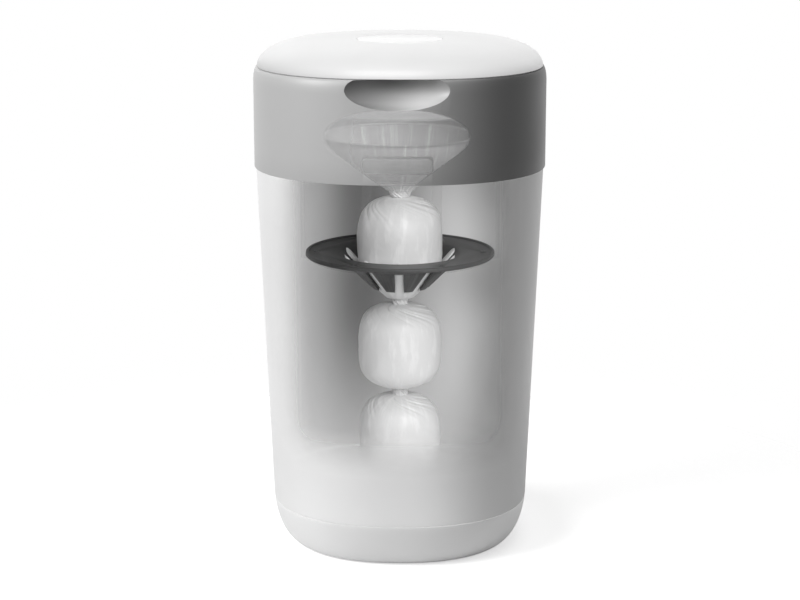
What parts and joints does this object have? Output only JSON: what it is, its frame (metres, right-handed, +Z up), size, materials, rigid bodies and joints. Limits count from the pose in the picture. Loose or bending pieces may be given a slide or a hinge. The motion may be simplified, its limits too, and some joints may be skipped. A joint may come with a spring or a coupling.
{
  "type": "nappy bin",
  "caption": "Tall tapered nappy bin with a hinged domed lid, a hinged grey collar with a turning film cassette, and a finger gripper that holds each wrapped nappy.",
  "frame": {"origin": "centre of the flat foot, on the floor", "axes": "+Z up, the front with the finger scoop faces -Y, +X to the bin's left as it faces you"},
  "size_m": [0.255, 0.2646, 0.4497],
  "materials": {
    "tub_white": "satin moulded polypropylene",
    "lid_white": "smooth white moulding",
    "inlay_white": "smooth white inlay",
    "collar_grey": "satin grey moulding",
    "inner_grey": "plain moulding",
    "inner_white": "plain moulding",
    "dish_dark": "dark flexible moulding",
    "finger_white": "flexible white moulding",
    "cassette_grey": "recycled grey plastic",
    "cutter_red": "coloured safety cutter",
    "seal_rubber": "soft seal",
    "pin_steel": "ground steel",
    "screw_steel": "plated steel",
    "film": "thin cloudy film",
    "wrapped_film": "soft parcel in cloudy film"
  },
  "bodies": {
    "tub": {"tub_shell": "tub_white", "base_pan": "tub_white", "latch_keeper": "inner_grey", "collar_hinge_pin": "pin_steel", "wrapped_nappy_middle": "wrapped_film", "wrapped_nappy_lower": "wrapped_film", "film_tail": "wrapped_film"},
    "collar": {"collar_housing": "collar_grey", "top_surround": "inner_white", "deck": "inner_grey", "deck_screws": "screw_steel", "lid_hinge_pin": "pin_steel", "click_pawls": "dish_dark", "pawl_screws": "screw_steel", "gripper_hanger": "inner_grey", "hanger_screws": "screw_steel", "gripper_dish": "dish_dark", "dish_screws": "dish_dark", "gripper_fingers": "finger_white", "button_spring": "pin_steel", "wrapped_nappy_upper": "wrapped_film"},
    "lid": {"lid_shell": "lid_white", "lid_tray": "inner_white", "lid_screws": "screw_steel", "lid_seal": "seal_rubber", "lid_inlay": "inlay_white"},
    "turning_unit": {"turning_ring": "inner_white", "click_ring": "inner_grey", "cassette_tray": "cassette_grey", "cassette_cover": "cassette_grey", "film_pack": "film", "film_funnel": "film"},
    "button": {"release_button": "collar_grey", "latch_arm": "inner_grey"},
    "cutter": {"cutter_slide": "cutter_red", "cutter_blade": "pin_steel"}
  },
  "joints": [
    {"name": "collar_hinge", "type": "hinge", "parent": "tub", "child": "collar", "pos_m": [0, 0.1325, 0.338], "axis": [-1, 0, 0], "range_deg": [0, 75]},
    {"name": "lid_hinge", "type": "hinge", "parent": "collar", "child": "lid", "pos_m": [0, 0.13, 0.4274], "axis": [-1, 0, 0], "range_deg": [0, 100]},
    {"name": "ring_turn", "type": "hinge", "parent": "collar", "child": "turning_unit", "pos_m": [0, 0, 0.353], "axis": [0, 0, 1], "continuous": true},
    {"name": "button_press", "type": "slide", "parent": "collar", "child": "button", "axis": [0, 1, 0], "range_m": [0, 0.0025], "stiffness_N_per_m": 500, "springref_m": -0.002, "deforming": ["button_spring"]},
    {"name": "cutter_slide_run", "type": "slide", "parent": "collar", "child": "cutter", "axis": [0, -1, 0], "range_m": [0, 0.04]}
  ]
}
